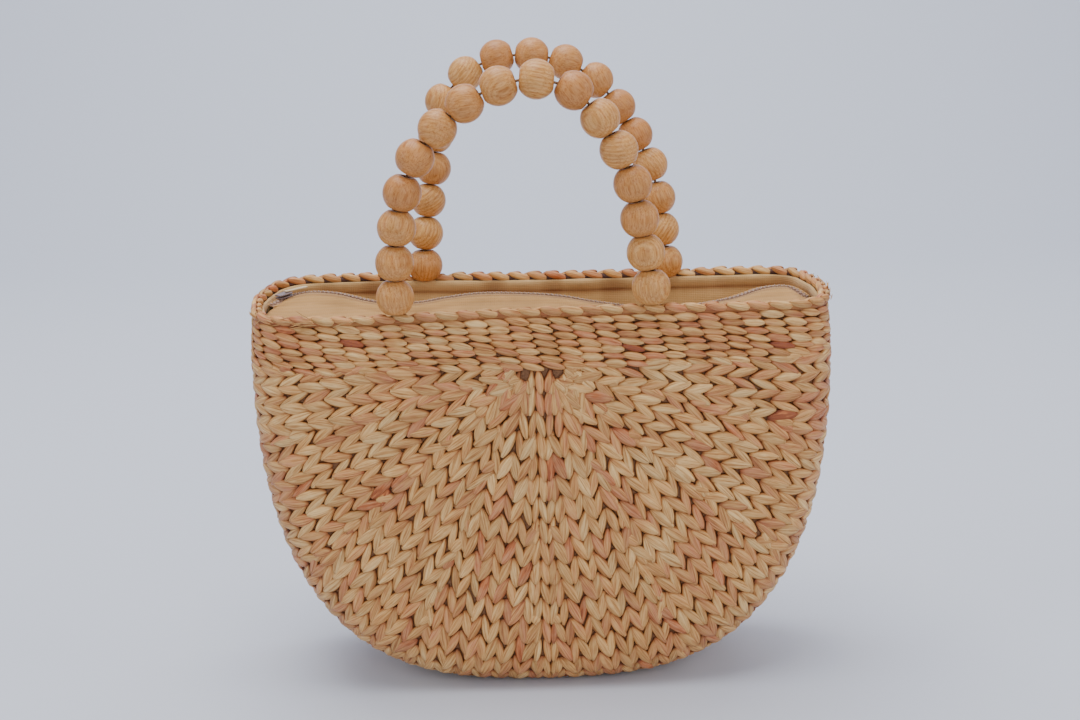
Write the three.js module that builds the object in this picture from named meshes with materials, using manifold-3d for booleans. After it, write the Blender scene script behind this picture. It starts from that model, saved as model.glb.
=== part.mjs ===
// A half-moon straw basket bag with two handles of wooden beads, a cotton lining at its mouth and a closed
// zip. Millimetres. +Z is up and the front panel faces -Y. The origin is on the floor under the bag's middle.
import * as THREE from 'three';
import { mergeVertices } from 'three/addons/utils/BufferGeometryUtils.js';
import Module from 'manifold-3d';

// Driving dimensions of the woven body
const BAG_WIDTH = 315;
const BAG_DEPTH = 98;
const WALL_TOP = 210;
const WALL = 4;
const FAN_HEIGHT = 181;
const FOOT_TUCK = 0.7;
const EDGE_RADIUS = 24;
const PANEL_BULGE = 4;
const GUSSET_BULGE = 3;
const MOUTH_PULL = 2;
const OUTLINE_SIDE_POWER = 3;
const OUTLINE_DROP_POWER = 2.4;

// The mouth isn't level: the front edge sags at the left foot of its handle, and the back edge stands up
// opposite
const FRONT_SAG = 2.5;
const BACK_LIFT = 2;
const WAVE_PLACE = -100;
const WAVE_REACH = 60;

// The plaited edge on top of the wall
const BRAID_WIDTH = 6;
const BRAID_HEIGHT = 5;

// The cotton lining, the two cloth panels that close the mouth and the zip between them
const CLOTH = 1.2;
const LINING_DEPTH = 26;
const LINING_BELOW_EDGE = 1;
const FRONT_SEAM_DROP = 5;
const BACK_SEAM_DROP = 20;
const PANEL_SAG = 3;
const ZIP_WIDTH = 5;
const ZIP_THICKNESS = 2;
const ZIP_END_INSET = 2.5;
const ZIP_DIP = 7;
const SLIDER_LENGTH = 9;
const SLIDER_WIDTH = 7;
const SLIDER_HEIGHT = 2.5;
const SLIDER_TAPER = 0.7;
const SLIDER_FROM_END = 6;
const PULL_LENGTH = 13;
const PULL_WIDTH = 3.5;

// The back seam reaches its full drop within a share of its length from each end. The cloth's joints to the
// zip keep clear of the seam's corners by a share of the zip's length.
const SEAM_FALL = 0.2;
const SEAM_EASE = 0.08;

// The bead handles
const BEAD_DIAMETER = 20;
const BEAD_LENGTH = 17.4;
const BEAD_SPACE = 0.9;
const THREAD_DIAMETER = 1.4;
const THREAD_ANCHOR = 8;
const HANDLE_LEAN = 4;

// How deep the foot beads of each handle are pulled into the plaited edge
const FRONT_SINK = 0.2;
const BACK_SINK = 3.8;

// Clearances
const SEAT_GAP = 0.3;
const CLOTH_GAP = 0.35;
const ANCHOR_GAP = 0.4;
const SLIDER_LIFT = 0.35;
const BEAD_HOLE_CLEARANCE = 1.8;

// How finely the faceted solids follow their curves
const FAN_STEPS = 24;
const BAND_STEPS = 3;
const BRAID_SIDES = 8;
const PANEL_STEPS = 3;
const SEAM_STEP = 17;
const DRILL_SIDES = 8;
const BEAD_SIDES = 12;
const BEAD_ROWS = 5;
const THREAD_SIDES = 5;
const THREAD_STEPS = 44;
const SOLVER_STEPS = 40;
const BEAD_TRIES = 4;
const MERGE_DISTANCE = 1e-4;

// Where the profile across the bag has its points. `out` is a share of the flat of the panel, from its centre
// line to the start of the round edge, and `turn` is degrees round that edge.
const PANEL_ROWS = [{ out: 0 }, { out: 0.25 }, { out: 0.5 }, { out: 0.75 }];
const EDGE_ROWS = [{ turn: 0 }, { turn: 22 }, { turn: 45 }, { turn: 68 }, { turn: 90 }];

// The zip's line from left to right. `along` is a share of half the mouth's length, `back` is a share of half
// its depth, towards the back, and `dip` is a share of the zip's deepest dip, below the edge of the wall.
const ZIP_LINE = [
  { along: -1.0, back: 0.0, dip: 0.0 },
  { along: -0.95, back: 0.22, dip: -0.3 },
  { along: -0.88, back: 0.38, dip: -0.4 },
  { along: -0.77, back: 0.34, dip: -0.3 },
  { along: -0.61, back: 0.12, dip: 0.15 },
  { along: -0.46, back: 0.05, dip: 0.18 },
  { along: -0.35, back: 0.11, dip: -0.07 },
  { along: -0.22, back: 0.18, dip: -0.24 },
  { along: 0.0, back: 0.14, dip: -0.1 },
  { along: 0.11, back: 0.05, dip: 0.09 },
  { along: 0.19, back: 0.0, dip: 0.38 },
  { along: 0.45, back: -0.05, dip: 1.0 },
  { along: 0.7, back: 0.0, dip: 0.5 },
  { along: 0.85, back: 0.2, dip: -0.09 },
  { along: 0.94, back: 0.2, dip: -0.11 },
  { along: 1.0, back: 0.0, dip: 0.5 },
];

// The bead strings' chosen routes, in millimetres across the bag and up from the middle of a foot bead
const FRONT_ROUTE = [
  { x: -75, up: 0 },
  { x: -72.5, up: 36 },
  { x: -62.5, up: 69.5 },
  { x: -36.5, up: 96.5 },
  { x: -19, up: 105 },
  { x: -0.8, up: 107.8 },
  { x: 18, up: 102 },
  { x: 31.5, up: 87.5 },
  { x: 46.5, up: 58 },
  { x: 52.5, up: 28 },
  { x: 57, up: 0 },
];
const BACK_ROUTE = [
  { x: -65.2, up: 0 },
  { x: -63, up: 30 },
  { x: -58.5, up: 54 },
  { x: -56, up: 75 },
  { x: -51.5, up: 93 },
  { x: -38.5, up: 107.5 },
  { x: -21, up: 116.3 },
  { x: -1, up: 117.3 },
  { x: 18.5, up: 113.2 },
  { x: 35.6, up: 102.5 },
  { x: 49, up: 85 },
  { x: 66, up: 53 },
  { x: 70.5, up: 26 },
  { x: 73.1, up: 0 },
];

const STRAW = { color: 0xc49f74, roughness: 0.7, metalness: 0 };
const RIM_STRAW = { color: 0xc0936a, roughness: 0.7, metalness: 0 };
const COTTON = { color: 0xc2a06a, roughness: 0.95, metalness: 0 };
const BEAD_WOOD = { color: 0xd2a26c, roughness: 0.42, metalness: 0 };
const NYLON = { color: 0xd9dcdc, roughness: 0.25, metalness: 0 };
const ZIP_PLASTIC = { color: 0x8c7276, roughness: 0.5, metalness: 0 };

const manifold = await Module();
manifold.setup();

// Named meshes

function addMesh(parent, name, geometry, look) {
  const mesh = new THREE.Mesh(geometry, new THREE.MeshStandardMaterial(look));
  mesh.name = name;
  parent.add(mesh);
  return mesh;
}

function geometryFrom(points, triangles) {
  const geometry = new THREE.BufferGeometry();
  geometry.setAttribute('position', new THREE.Float32BufferAttribute(points.flat(), 3));
  geometry.setIndex(triangles.flat());
  return mergeVertices(geometry, MERGE_DISTANCE);
}

function withoutSlivers(geometry) {
  const index = geometry.index.array;
  const kept = [];
  for (let i = 0; i < index.length; i += 3) {
    const [a, b, c] = [index[i], index[i + 1], index[i + 2]];
    if (a !== b && b !== c && c !== a) kept.push(a, b, c);
  }
  geometry.setIndex(kept);
  return geometry;
}

function toManifold(geometry) {
  const bare = geometry.clone();
  bare.deleteAttribute('normal');
  bare.deleteAttribute('uv');
  const merged = mergeVertices(bare, MERGE_DISTANCE);
  const vertProperties = new Float32Array(merged.attributes.position.array);
  const triVerts = new Uint32Array(merged.index.array);
  return new manifold.Manifold(new manifold.Mesh({ numProp: 3, vertProperties, triVerts }));
}

function fromManifold(solid) {
  const mesh = solid.getMesh();
  const geometry = new THREE.BufferGeometry();
  geometry.setAttribute('position', new THREE.BufferAttribute(mesh.vertProperties, 3));
  geometry.setIndex(new THREE.BufferAttribute(mesh.triVerts, 1));
  return geometry;
}

// The two triangles of each quad in a grid of points. Row i starts at first + i * wide.
function gridTriangles(first, tall, wide, flipped, closed = false) {
  const triangles = [];
  for (let i = 0; i + 1 < tall; i++) {
    for (let j = 0; j + (closed ? 0 : 1) < wide; j++) {
      const a = first + i * wide + j;
      const b = first + i * wide + ((j + 1) % wide);
      const [c, d] = [a + wide, b + wide];
      triangles.push(flipped ? [a, d, b] : [a, b, d], flipped ? [a, c, d] : [a, d, c]);
    }
  }
  return triangles;
}

// The form of the bag

const halfWidth = BAG_WIDTH / 2;
const halfDepth = BAG_DEPTH / 2;
const fanDrop = FAN_HEIGHT + FOOT_TUCK;

// How far the outline lies from the fan's centre, in a direction given in degrees from straight down
function outlineReach(degrees) {
  const side = Math.abs(Math.sin(THREE.MathUtils.degToRad(degrees))) / halfWidth;
  const down = Math.abs(Math.cos(THREE.MathUtils.degToRad(degrees))) / fanDrop;
  let [low, high] = [0, halfWidth + fanDrop];
  for (let i = 0; i < SOLVER_STEPS; i++) {
    const middle = (low + high) / 2;
    const sum = (middle * side) ** OUTLINE_SIDE_POWER + (middle * down) ** OUTLINE_DROP_POWER;
    if (sum < 1) low = middle;
    else high = middle;
  }
  return low;
}

// How much the mouth's edge stands above or below its level place
function mouthWave(x, y) {
  const near = Math.exp(-(((x - WAVE_PLACE) / WAVE_REACH) ** 2));
  const toBack = THREE.MathUtils.clamp(0.5 + y / BAG_DEPTH, 0, 1);
  return near * (BACK_LIFT * toBack - FRONT_SAG * (1 - toBack));
}

// How far a panel swells past its edges at a place, from nothing at the mouth and the floor
function panelBulge(x, z) {
  const high = THREE.MathUtils.clamp(z / WALL_TOP, 0, 1);
  const wide = Math.min(1, Math.abs(x) / halfWidth);
  return PANEL_BULGE * 4 * high * (1 - high) * (1 - wide * wide);
}

// The stations of the body, from the left of the mouth, round the fan and up to the right of the mouth
function bodyStations() {
  const stations = [];
  for (let i = BAND_STEPS; i > 0; i--) stations.push({ degrees: -90, rise: i / BAND_STEPS });
  for (let i = 0; i <= FAN_STEPS; i++) stations.push({ degrees: -90 + (180 * i) / FAN_STEPS, rise: 0 });
  for (let i = 1; i <= BAND_STEPS; i++) stations.push({ degrees: 90, rise: i / BAND_STEPS });
  return stations;
}

// The points across the bag at one station, from the middle of the front panel over the gusset to the back
function stationPoints(station, inset) {
  const turn = THREE.MathUtils.degToRad(station.degrees);
  const [sideways, down] = [Math.sin(turn), Math.cos(turn)];
  const swell = GUSSET_BULGE * Math.abs(sideways);
  const edge = outlineReach(station.degrees) - swell - inset - MOUTH_PULL * station.rise ** 2;
  const round = EDGE_RADIUS - inset;
  const depth = halfDepth - inset;
  const place = (out, y, flat) => {
    const x = out * sideways;
    const z = Math.max(FAN_HEIGHT - out * down, inset);
    const bulged = y + Math.sign(y) * flat * panelBulge(x, z + station.rise * (WALL_TOP - FAN_HEIGHT));
    return [x, bulged, z + station.rise * (WALL_TOP + mouthWave(x, bulged) - FAN_HEIGHT)];
  };
  const side = (sign) => [
    ...PANEL_ROWS.map((row) => place((edge - round) * row.out, sign * depth, 1)),
    ...EDGE_ROWS.map((row) => {
      const a = THREE.MathUtils.degToRad(row.turn);
      const y = depth - round + round * Math.cos(a);
      return place(edge - round + round * Math.sin(a), sign * y, Math.cos(a));
    }),
  ];
  return [...side(-1), place(edge + swell, 0, 0), ...side(1).reverse()];
}

const GUSSET_ROW = PANEL_ROWS.length + EDGE_ROWS.length;

function basketShell() {
  const stations = bodyStations();
  const outer = stations.map((station) => stationPoints(station, 0));
  const inner = stations.map((station) => stationPoints(station, WALL));
  const [tall, wide] = [stations.length, outer[0].length];
  const start = tall * wide;
  const triangles = [...gridTriangles(0, tall, wide, false), ...gridTriangles(start, tall, wide, true)];
  for (const row of [0, tall - 1]) {
    for (let j = 0; j + 1 < wide; j++) {
      const [a, b] = [row * wide + j, row * wide + j + 1];
      const [c, d] = [a + start, b + start];
      if (row === 0) triangles.push([a, d, b], [a, c, d]);
      else triangles.push([a, b, d], [a, d, c]);
    }
  }
  return withoutSlivers(geometryFrom([...outer.flat(), ...inner.flat()], triangles));
}

// The mouth's outline at an inset from the wall's outer face, once round from the middle of the front, as
// [x, y] pairs
function mouthLoop(inset) {
  const right = stationPoints({ degrees: 90, rise: 1 }, inset);
  const left = stationPoints({ degrees: -90, rise: 1 }, inset);
  return [...right, ...left.slice(1, -1).reverse()].map(([x, y]) => [x, y]);
}

// A closed band round the mouth. Each corner of its section has an inset and a height before the wave.
function mouthRing(corners) {
  const loops = corners.map((corner) => mouthLoop(corner.inset));
  const [tall, wide] = [loops[0].length, corners.length];
  const points = [];
  for (let i = 0; i <= tall; i++) {
    corners.forEach((corner, k) => {
      const [x, y] = loops[k][i % tall];
      points.push([x, y, corner.z + mouthWave(x, y)]);
    });
  }
  return geometryFrom(points, gridTriangles(0, tall + 1, wide, false, true));
}

const braidTop = WALL_TOP + SEAT_GAP + BRAID_HEIGHT;

function braidRing() {
  const corners = [];
  const reach = 0.5 / Math.cos(Math.PI / BRAID_SIDES);
  for (let k = 0; k < BRAID_SIDES; k++) {
    const a = (2 * Math.PI * (k + 0.5)) / BRAID_SIDES;
    corners.push({
      inset: WALL / 2 + BRAID_WIDTH * reach * Math.cos(a),
      z: braidTop - BRAID_HEIGHT / 2 + BRAID_HEIGHT * reach * Math.sin(a),
    });
  }
  return mouthRing(corners);
}

function liningRing() {
  const near = WALL + CLOTH_GAP;
  const far = near + CLOTH;
  const top = WALL_TOP - LINING_BELOW_EDGE;
  const low = top - LINING_DEPTH;
  return mouthRing([
    { inset: far, z: top },
    { inset: near, z: top },
    { inset: near, z: low },
    { inset: far, z: low },
  ]);
}

// The zip and the cloth that it closes

const panelInset = WALL + CLOTH_GAP + CLOTH + CLOTH_GAP;
const panelEnd = mouthLoop(panelInset)[GUSSET_ROW][0];
const zipSide = ZIP_WIDTH / 2 + CLOTH_GAP;

function zipLine() {
  const points = ZIP_LINE.map((row) => {
    const x = row.along * (panelEnd - ZIP_END_INSET - CLOTH_GAP);
    const y = row.back * (halfDepth - panelInset);
    return new THREE.Vector3(x, y, WALL_TOP + mouthWave(x, y) - row.dip * ZIP_DIP);
  });
  return new THREE.CatmullRomCurve3(points, false, 'centripetal');
}

const zipCurve = zipLine();

// The level way square to the zip at a place along it, towards the front
function zipFrontward(share) {
  const along = zipCurve.getTangentAt(share);
  return new THREE.Vector3(along.y, -along.x, 0).normalize();
}

// The zip's teeth as a flat strip, with its stations where the panels beside it have theirs
function zipStrip() {
  const shares = sharesAlong(seamPoints(1)).map(shareOnZip);
  const points = shares.flatMap((share) => {
    const at = zipCurve.getPointAt(share);
    const side = zipFrontward(share).multiplyScalar(ZIP_WIDTH / 2);
    return [[-1, -1], [1, -1], [1, 1], [-1, 1]].map(([s, t]) => {
      return [at.x + s * side.x, at.y + s * side.y, at.z + (t * ZIP_THICKNESS) / 2];
    });
  });
  const last = points.length - 4;
  const ends = [[0, 1, 2], [0, 2, 3], [last, last + 2, last + 1], [last, last + 3, last + 2]];
  return geometryFrom(points, [...gridTriangles(0, shares.length, 4, true, true), ...ends]);
}

// The seam of a cloth panel from the zip's left end round the front (-1) or the back (1) to its right end
function seamPoints(sign) {
  const loop = mouthLoop(panelInset);
  const quarter = loop.slice(0, GUSSET_ROW).map(([x, y]) => [x, -sign * y]);
  const end = [panelEnd, sign * zipSide];
  const right = [...quarter, end];
  const left = right.slice(1).reverse().map(([x, y]) => [-x, y]);
  const corners = [...left, ...right];
  const points = [corners[0]];
  for (let i = 1; i < corners.length; i++) {
    const [[x0, y0], [x1, y1]] = [corners[i - 1], corners[i]];
    const pieces = Math.ceil(Math.hypot(x1 - x0, y1 - y0) / SEAM_STEP);
    for (let k = 1; k <= pieces; k++) {
      const share = k / pieces;
      points.push([THREE.MathUtils.lerp(x0, x1, share), THREE.MathUtils.lerp(y0, y1, share)]);
    }
  }
  return points;
}

// How far round a line each of its points lies, from 0 to 1
function sharesAlong(points) {
  const lengths = [0];
  for (let i = 1; i < points.length; i++) {
    const [[x0, y0], [x1, y1]] = [points[i - 1], points[i]];
    lengths.push(lengths[i - 1] + Math.hypot(x1 - x0, y1 - y0));
  }
  return lengths.map((length) => length / lengths[lengths.length - 1]);
}

// How far along the zip a place on a seam is joined to it, given how far along the seam it lies
function shareOnZip(share) {
  return share - SEAM_EASE * Math.sin(2 * Math.PI * share);
}

// A cloth panel from its seam on the lining to the zip's edge
function zipPanel(sign, middleDrop) {
  const seam = seamPoints(sign);
  const shares = sharesAlong(seam);
  const [upper, lower] = [[], []];
  seam.forEach(([x, y], i) => {
    const fromEnd = Math.min(shares[i], 1 - shares[i]);
    const fallen = THREE.MathUtils.smoothstep(fromEnd, 0, SEAM_FALL);
    const drop = THREE.MathUtils.lerp(FRONT_SEAM_DROP, middleDrop, fallen);
    const outer = new THREE.Vector3(x, y, WALL_TOP + mouthWave(x, y) - drop);
    const onZip = shareOnZip(shares[i]);
    const inner = zipCurve.getPointAt(onZip).addScaledVector(zipFrontward(onZip), -sign * zipSide);
    const span = Math.hypot(inner.x - outer.x, inner.y - outer.y) / halfDepth;
    for (let k = 0; k <= PANEL_STEPS; k++) {
      const across = k / PANEL_STEPS;
      const p = outer.clone().lerp(inner, across);
      p.z -= PANEL_SAG * 4 * across * (1 - across) * span;
      upper.push([p.x, p.y, p.z + CLOTH / 2]);
      lower.push([p.x, p.y, p.z - CLOTH / 2]);
    }
  });
  const [tall, wide] = [seam.length, PANEL_STEPS + 1];
  const start = tall * wide;
  const front = sign < 0;
  const triangles = [...gridTriangles(0, tall, wide, front), ...gridTriangles(start, tall, wide, !front)];
  const rim = [];
  for (let j = 0; j < wide; j++) rim.push(j);
  for (let i = 1; i < tall; i++) rim.push(i * wide + wide - 1);
  for (let j = wide - 2; j >= 0; j--) rim.push((tall - 1) * wide + j);
  for (let i = tall - 2; i > 0; i--) rim.push(i * wide);
  rim.forEach((a, i) => {
    const b = rim[(i + 1) % rim.length];
    if (front) triangles.push([a, b + start, a + start], [a, b, b + start]);
    else triangles.push([a, a + start, b + start], [a, b + start, b]);
  });
  return geometryFrom([...upper, ...lower], triangles);
}

// The slider's body with its pull lying along the zip, as one piece
function sliderShape() {
  const outline = new THREE.Shape();
  const [body, pull] = [SLIDER_WIDTH / 2, PULL_WIDTH / 2];
  outline.moveTo(-SLIDER_LENGTH / 2, -body * SLIDER_TAPER);
  outline.lineTo(SLIDER_LENGTH / 2, -body);
  outline.lineTo(SLIDER_LENGTH / 2, -pull);
  outline.lineTo(SLIDER_LENGTH / 2 + PULL_LENGTH, -pull);
  outline.lineTo(SLIDER_LENGTH / 2 + PULL_LENGTH, pull);
  outline.lineTo(SLIDER_LENGTH / 2, pull);
  outline.lineTo(SLIDER_LENGTH / 2, body);
  outline.lineTo(-SLIDER_LENGTH / 2, body * SLIDER_TAPER);
  return new THREE.ExtrudeGeometry(outline, { depth: SLIDER_HEIGHT, bevelEnabled: false });
}

function placeSlider(mesh) {
  const share = (SLIDER_FROM_END + SLIDER_LENGTH / 2) / zipCurve.getLength();
  const [at, along] = [zipCurve.getPointAt(share), zipCurve.getTangentAt(share)];
  const frontward = zipFrontward(share);
  const upward = new THREE.Vector3().crossVectors(along, frontward).negate();
  mesh.quaternion.setFromRotationMatrix(new THREE.Matrix4().makeBasis(along, frontward.negate(), upward));
  mesh.position.copy(at).addScaledVector(upward, ZIP_THICKNESS / 2 + SLIDER_LIFT);
}

// The handles

const handleDepth = halfDepth - WALL / 2;
const threadDepth = BRAID_HEIGHT + SEAT_GAP + THREAD_ANCHOR;

// How high the middle of a foot bead lies above the plaited edge
function beadSeat(sink) {
  return BEAD_LENGTH / 2 + SEAT_GAP - sink;
}

// The feet of a handle at the top of the plaited edge, left and right
function handleFeet(route, sign) {
  const y = sign * handleDepth;
  const ends = [route[0].x, route[route.length - 1].x];
  return ends.map((x) => new THREE.Vector3(x, y, braidTop + mouthWave(x, y)));
}

// The thread's line: out of the wall at the left foot, through the beads and down into the right foot
function threadCurve({ route, sign, sink }) {
  const [leftFoot, rightFoot] = handleFeet(route, sign);
  const top = Math.max(...route.map((row) => row.up));
  const centres = route.map((row) => {
    const share = (row.x - leftFoot.x) / (rightFoot.x - leftFoot.x);
    const y = sign * (handleDepth + (HANDLE_LEAN * row.up) / top);
    const z = THREE.MathUtils.lerp(leftFoot.z, rightFoot.z, share) + beadSeat(sink) + row.up;
    return new THREE.Vector3(row.x, y, z);
  });
  const down = new THREE.Vector3(0, 0, -threadDepth);
  const points = [leftFoot.clone().add(down), leftFoot, ...centres, rightFoot, rightFoot.clone().add(down)];
  return new THREE.CatmullRomCurve3(points, false, 'centripetal');
}

function threadGeometry(curve) {
  const section = new THREE.Shape();
  for (let k = 0; k < THREAD_SIDES; k++) {
    const a = (2 * Math.PI * k) / THREAD_SIDES;
    const [x, y] = [(THREAD_DIAMETER / 2) * Math.cos(a), (THREAD_DIAMETER / 2) * Math.sin(a)];
    if (k === 0) section.moveTo(x, y);
    else section.lineTo(x, y);
  }
  const along = { steps: THREAD_STEPS, extrudePath: curve, bevelEnabled: false };
  return new THREE.ExtrudeGeometry(section, along);
}

// A round bead with its ends cut flat across its hole, which runs along the local Y
function roundBead(radius, half, hole) {
  const last = Math.asin(half / radius);
  const profile = [];
  for (let k = 0; k <= BEAD_ROWS; k++) {
    const a = -last + (2 * last * k) / BEAD_ROWS;
    profile.push(new THREE.Vector2(radius * Math.cos(a), radius * Math.sin(a)));
  }
  const [start, end] = [new THREE.Vector2(hole, -half), new THREE.Vector2(hole, half)];
  return new THREE.LatheGeometry([start, ...profile, end, start.clone()], BEAD_SIDES);
}

function beadGeometry() {
  return roundBead(BEAD_DIAMETER / 2, BEAD_LENGTH / 2, THREAD_DIAMETER / 2 + BEAD_HOLE_CLEARANCE);
}

// How far along the string the next bead's middle is, when the nearest points of two ends keep a gap
function beadStep(tilt, gap) {
  const flat = Math.sqrt(BEAD_DIAMETER ** 2 - BEAD_LENGTH ** 2) / 2;
  return BEAD_LENGTH * Math.cos(tilt / 2) + 2 * flat * Math.sin(tilt / 2) + gap;
}

// Where on the string a row of beads lies, from 0 to 1, with the same gap between each two
function beadShares(curve, first, steps, gap) {
  const shares = [first];
  for (let i = 0; i < steps; i++) {
    const tangent = curve.getTangentAt(shares[i]);
    let next = shares[i];
    for (let k = 0; k < BEAD_TRIES; k++) {
      const tilt = tangent.angleTo(curve.getTangentAt(next));
      next = Math.min(1, shares[i] + beadStep(tilt, gap) / curve.getLength());
    }
    shares.push(next);
  }
  return shares;
}

// As many beads as the string holds above its feet at their least spacing, with the gap that fills it
function addBeads(parent, curve, name, sink) {
  const first = (threadDepth + beadSeat(sink)) / curve.getLength();
  const room = curve.getLength() * (1 - 2 * first);
  const steps = Math.floor(room / (BEAD_LENGTH + BEAD_SPACE));
  let [low, high] = [0, room / steps];
  for (let i = 0; i < SOLVER_STEPS; i++) {
    const middle = (low + high) / 2;
    if (beadShares(curve, first, steps, middle)[steps] < 1 - first) low = middle;
    else high = middle;
  }
  beadShares(curve, first, steps, low).forEach((share, i) => {
    const number = String(i + 1).padStart(2, '0');
    const bead = addMesh(parent, `${name}_${number}`, beadGeometry(), BEAD_WOOD);
    const along = curve.getTangentAt(share);
    if (i === 0 || i === steps) along.set(0, 0, Math.sign(along.z));
    bead.position.copy(curve.getPointAt(share));
    bead.quaternion.setFromUnitVectors(new THREE.Vector3(0, 1, 0), along);
  });
}

// Holes for the threads, down through the plaited edge and into the top of the wall, and the dents that the
// foot beads press into the edge
function drillFor({ route, sign, sink }) {
  const [radius, low, high] = [THREAD_DIAMETER / 2 + ANCHOR_GAP, -threadDepth - ANCHOR_GAP, beadSeat(sink)];
  const cuts = handleFeet(route, sign).flatMap((foot) => {
    const drill = new THREE.CylinderGeometry(radius, radius, high - low, DRILL_SIDES);
    drill.rotateX(Math.PI / 2);
    drill.translate(foot.x, foot.y, foot.z + (low + high) / 2);
    const dent = roundBead(BEAD_DIAMETER / 2 + SEAT_GAP, BEAD_LENGTH / 2 + SEAT_GAP, 0);
    dent.rotateX(Math.PI / 2);
    dent.translate(foot.x, foot.y, foot.z + high);
    return [toManifold(drill), toManifold(withoutSlivers(dent))];
  });
  return manifold.Manifold.union(cuts);
}

const handles = [
  { name: 'front', route: FRONT_ROUTE, sign: -1, sink: FRONT_SINK },
  { name: 'back', route: BACK_ROUTE, sign: 1, sink: BACK_SINK },
];
const drills = manifold.Manifold.union(handles.map(drillFor));

const bag = new THREE.Group();
addMesh(bag, 'basket_body', fromManifold(toManifold(basketShell()).subtract(drills)), STRAW);
addMesh(bag, 'rim_braid', fromManifold(toManifold(braidRing()).subtract(drills)), RIM_STRAW);
addMesh(bag, 'lining_band', liningRing(), COTTON);

const closure = new THREE.Group();
addMesh(closure, 'zip_panel_front', zipPanel(-1, FRONT_SEAM_DROP), COTTON);
addMesh(closure, 'zip_panel_back', zipPanel(1, BACK_SEAM_DROP), COTTON);
addMesh(closure, 'zip_teeth', zipStrip(), ZIP_PLASTIC);
placeSlider(addMesh(closure, 'zip_slider', sliderShape(), ZIP_PLASTIC));
bag.add(closure);

for (const handle of handles) {
  const group = new THREE.Group();
  const curve = threadCurve(handle);
  addMesh(group, `thread_${handle.name}`, threadGeometry(curve), NYLON);
  addBeads(group, curve, `bead_${handle.name}`, handle.sink);
  bag.add(group);
}

export default bag;
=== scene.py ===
"""A half-moon straw basket bag with wooden bead handles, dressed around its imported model.

Shapes are worked out in millimetres and become metres when a mesh is made.
"""
import math

import bmesh
import bpy
import numpy as np
from mathutils import Matrix, Vector


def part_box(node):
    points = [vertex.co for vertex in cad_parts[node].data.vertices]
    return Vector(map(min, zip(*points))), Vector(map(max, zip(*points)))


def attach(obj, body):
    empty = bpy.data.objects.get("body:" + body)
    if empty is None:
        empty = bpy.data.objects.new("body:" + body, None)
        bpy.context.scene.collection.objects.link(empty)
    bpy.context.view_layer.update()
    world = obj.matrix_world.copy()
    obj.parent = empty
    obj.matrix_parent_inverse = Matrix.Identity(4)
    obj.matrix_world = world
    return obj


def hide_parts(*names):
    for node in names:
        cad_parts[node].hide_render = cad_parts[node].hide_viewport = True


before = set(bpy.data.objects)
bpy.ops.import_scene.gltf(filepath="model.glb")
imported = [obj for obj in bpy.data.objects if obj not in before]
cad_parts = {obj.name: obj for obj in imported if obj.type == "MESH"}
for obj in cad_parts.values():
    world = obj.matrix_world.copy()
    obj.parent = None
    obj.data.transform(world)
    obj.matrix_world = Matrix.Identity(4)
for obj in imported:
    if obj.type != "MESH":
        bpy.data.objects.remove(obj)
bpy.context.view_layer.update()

MM = 0.001

# The woven body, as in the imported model
BAG_WIDTH = 315.0
BAG_DEPTH = 98.0
WALL_TOP = 210.0
WALL = 4.0
FAN_HEIGHT = 181.0
FOOT_TUCK = 0.7
EDGE_RADIUS = 24.0
PANEL_BULGE = 4.0
GUSSET_BULGE = 3.0
MOUTH_PULL = 2.0
SIDE_POWER = 3.0
DROP_POWER = 2.4
GUSSET_POWER = 1.6
MOUTH_STEPS = (60, 16, 16)
FRONT_SAG = 2.5
BACK_LIFT = 2.0
WAVE_PLACE = -100.0
WAVE_REACH = 60.0
BRAID_HEIGHT = 5.0
SEAT_GAP = 0.3
BRAID_MIDDLE = WALL_TOP + SEAT_GAP + BRAID_HEIGHT / 2
HALF_WIDTH = BAG_WIDTH / 2
HALF_DEPTH = BAG_DEPTH / 2
FLAT_HALF = HALF_DEPTH - EDGE_RADIUS

# The cloth and the zip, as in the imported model
CLOTH = 1.2
CLOTH_GAP = 0.35
LINING_DEPTH = 26.0
LINING_BELOW_EDGE = 1.0
FRONT_SEAM_DROP = 5.0
BACK_SEAM_DROP = 20.0
PANEL_SAG = 3.0
PANEL_STEPS = (24, 12, 2)
PANEL_GRID = (260, 28)
LINING_GRID = (520, 16)
PUCKERS = 61
PUCKER_PITCH = 33
ZIP_WIDTH = 5.0
ZIP_END_INSET = 2.5
TOOTH_PITCH = 1.25
ZIP_DIP = 7.0
SLIDER_LENGTH = 9.0
SLIDER_WIDTH = 7.0
SLIDER_FROM_END = 6.0
PULL_LENGTH = 12.0
SEAM_FALL = 0.2
SEAM_EASE = 0.08
ZIP_LINE = [
    (-1.0, 0.0, 0.0), (-0.95, 0.22, -0.3), (-0.88, 0.38, -0.4), (-0.77, 0.34, -0.3),
    (-0.61, 0.12, 0.15), (-0.46, 0.05, 0.18), (-0.35, 0.11, -0.07), (-0.22, 0.18, -0.24),
    (0.0, 0.14, -0.1), (0.11, 0.05, 0.09), (0.19, 0.0, 0.38), (0.45, -0.05, 1.0),
    (0.7, 0.0, 0.5), (0.85, 0.2, -0.09), (0.94, 0.2, -0.11), (1.0, 0.0, 0.5),
]

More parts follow.
